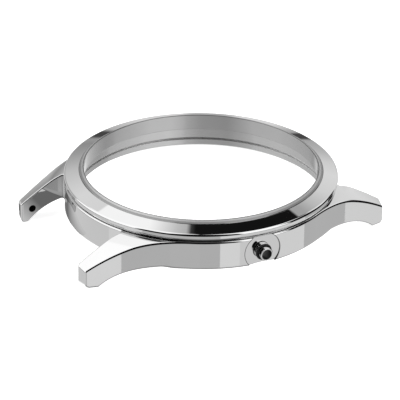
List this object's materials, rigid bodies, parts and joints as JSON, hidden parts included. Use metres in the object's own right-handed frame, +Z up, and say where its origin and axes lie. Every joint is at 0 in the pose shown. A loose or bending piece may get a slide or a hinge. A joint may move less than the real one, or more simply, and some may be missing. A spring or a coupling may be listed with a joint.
{
  "type": "watch case",
  "caption": "Open wrist-watch case: round steel body with four curved lugs, pressed stepped bezel, crown recess and stepped crown tube with a seal.",
  "frame": {"origin": "on the case axis, in the bottom plane of the case middle's round body, where the recess for the case back opens", "axes": "+X out of the crown tube at 3 o'clock, +Y towards 12 o'clock between the upper lugs, +Z up through the bezel towards the viewer of the watch"},
  "size_m": [0.0411, 0.0486, 0.009],
  "materials": {
    "case_steel": "mirror polished stainless steel",
    "bezel_steel": "mirror polished stainless steel",
    "gasket_rubber": "matte black seal rubber",
    "tube_steel": "turned bright stainless steel",
    "seal_rubber": "smooth black seal rubber"
  },
  "bodies": {
    "root": {"case_middle": "case_steel", "bezel": "bezel_steel", "bezel_gasket": "gasket_rubber", "crown_tube": "tube_steel", "crown_tube_seal": "seal_rubber"}
  },
  "joints": []
}
